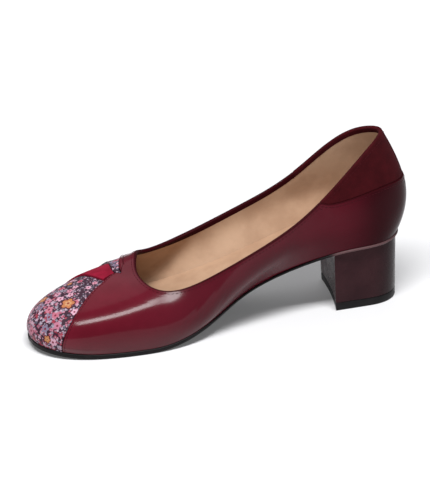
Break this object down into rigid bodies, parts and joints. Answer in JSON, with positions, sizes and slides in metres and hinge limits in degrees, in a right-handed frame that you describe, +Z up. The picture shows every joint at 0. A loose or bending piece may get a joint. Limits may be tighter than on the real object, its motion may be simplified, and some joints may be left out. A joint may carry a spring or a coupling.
{
  "type": "court shoe",
  "caption": "Right-foot court shoe with a rounded toe, low-cut topline, block heel, printed and suede toe panels, and a suede cuff at the back.",
  "frame": {"origin": "middle of the shoe's bounding box, on the floor it stands on", "axes": "-X towards the toe, +Y towards the outer side of the foot, +Z up"},
  "size_m": [0.2336, 0.0815, 0.1031],
  "materials": {
    "smooth_leather": "smooth burgundy leather, semi-gloss",
    "printed_leather": "leather with a small flower print, satin",
    "red_suede": "bright red suede, matt",
    "dark_suede": "dark wine suede, matt",
    "sole_rubber": "black rubber, matt",
    "heel_leather": "dark brown-red leather wrapped over the heel, satin",
    "sock_leather": "plain beige leather, matt"
  },
  "bodies": {
    "root": {"upper": "smooth_leather", "vamp_panel": "smooth_leather", "toe_cap": "printed_leather", "floral_band": "printed_leather", "suede_band": "red_suede", "heel_cuff": "dark_suede", "outsole": "sole_rubber", "heel_top_piece": "sole_rubber", "heel_block": "heel_leather", "insole": "sock_leather"}
  },
  "joints": []
}
